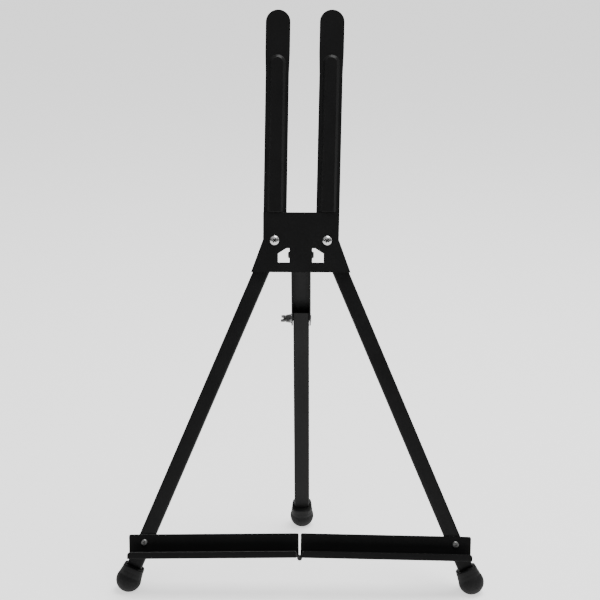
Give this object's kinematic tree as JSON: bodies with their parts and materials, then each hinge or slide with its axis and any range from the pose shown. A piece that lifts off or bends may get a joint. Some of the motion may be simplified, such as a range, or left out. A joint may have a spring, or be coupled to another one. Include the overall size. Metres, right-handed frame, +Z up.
{
  "type": "folding table easel",
  "caption": "Folding tripod stand in black steel that holds a music sheet, book or picture on a hinged ledge against upright masts.",
  "frame": {"origin": "middle of the stand's footprint box, on the ground", "axes": "+Z up, -Y towards the reader, +X to the reader's right"},
  "size_m": [0.244, 0.1209, 0.3728],
  "materials": {
    "paint": "satin black",
    "rubber": "matt",
    "bright_metal": "bright nickel plated",
    "zinc": "zinc plated",
    "rivet_steel": "plain steel"
  },
  "bodies": {
    "head": {"head_plate": "paint", "left_mast": "paint", "right_mast": "paint", "left_pivot_screw": "bright_metal", "right_pivot_screw": "bright_metal", "left_pivot_washer": "zinc", "right_pivot_washer": "zinc", "left_pivot_nut": "zinc", "right_pivot_nut": "zinc", "rear_hinge_rivet": "rivet_steel"},
    "left_leg": {"left_leg": "paint", "left_foot": "rubber", "left_ledge_rivet": "rivet_steel"},
    "right_leg": {"right_leg": "paint", "right_foot": "rubber", "right_rivet_tail": "rivet_steel"},
    "left_ledge": {"left_ledge": "paint", "ledge_centre_rivet": "rivet_steel"},
    "right_ledge": {"right_ledge": "paint", "right_ledge_rivet": "rivet_steel"},
    "rear_bracket": {"rear_bracket": "paint", "clamp_bolt": "bright_metal", "clamp_washer": "zinc"},
    "rear_leg": {"rear_leg": "paint", "rear_foot": "rubber"},
    "wing_nut": {"wing_nut": "bright_metal"}
  },
  "joints": [
    {"name": "leg_fold", "type": "hinge", "parent": "head", "child": "left_leg", "pos_m": [-0.0172, -0.00009, 0.22748], "axis": [0, -0.9703, 0.2419], "range_deg": [0, 20.6]},
    {"name": "right_leg_fold", "type": "hinge", "parent": "head", "child": "right_leg", "pos_m": [0.0172, -0.00009, 0.22748], "axis": [0, -0.9703, 0.2419], "range_deg": [-20.7, 0.1]},
    {"name": "left_ledge_fold", "type": "hinge", "parent": "left_leg", "child": "left_ledge", "pos_m": [-0.1027, -0.04844, 0.03354], "axis": [0, -0.9703, 0.2419], "range_deg": [-0.1, 59.62]},
    {"name": "ledge_centre_fold", "type": "hinge", "parent": "left_ledge", "child": "right_ledge", "pos_m": [0, -0.05072, 0.0244], "axis": [0, -0.9703, 0.2419], "range_deg": [-160.34, 0.1]},
    {"name": "rear_fold", "type": "hinge", "parent": "head", "child": "rear_bracket", "pos_m": [0, 0.00246, 0.21705], "axis": [-1, 0, 0], "range_deg": [0, 20]},
    {"name": "knee", "type": "hinge", "parent": "rear_bracket", "child": "rear_leg", "pos_m": [0, 0.01373, 0.16977], "axis": [-1, 0, 0], "range_deg": [0, 7]},
    {"name": "wing_nut_turn", "type": "hinge", "parent": "rear_bracket", "child": "wing_nut", "pos_m": [-0.008, 0.01373, 0.16977], "axis": [-1, 0, 0], "continuous": true}
  ],
  "couplings": [
    {"joint": "right_leg_fold", "follows": "leg_fold", "ratio": -1},
    {"joint": "left_ledge_fold", "follows": "leg_fold", "ratio": 2.8893},
    {"joint": "ledge_centre_fold", "follows": "leg_fold", "ratio": -7.7786}
  ]
}
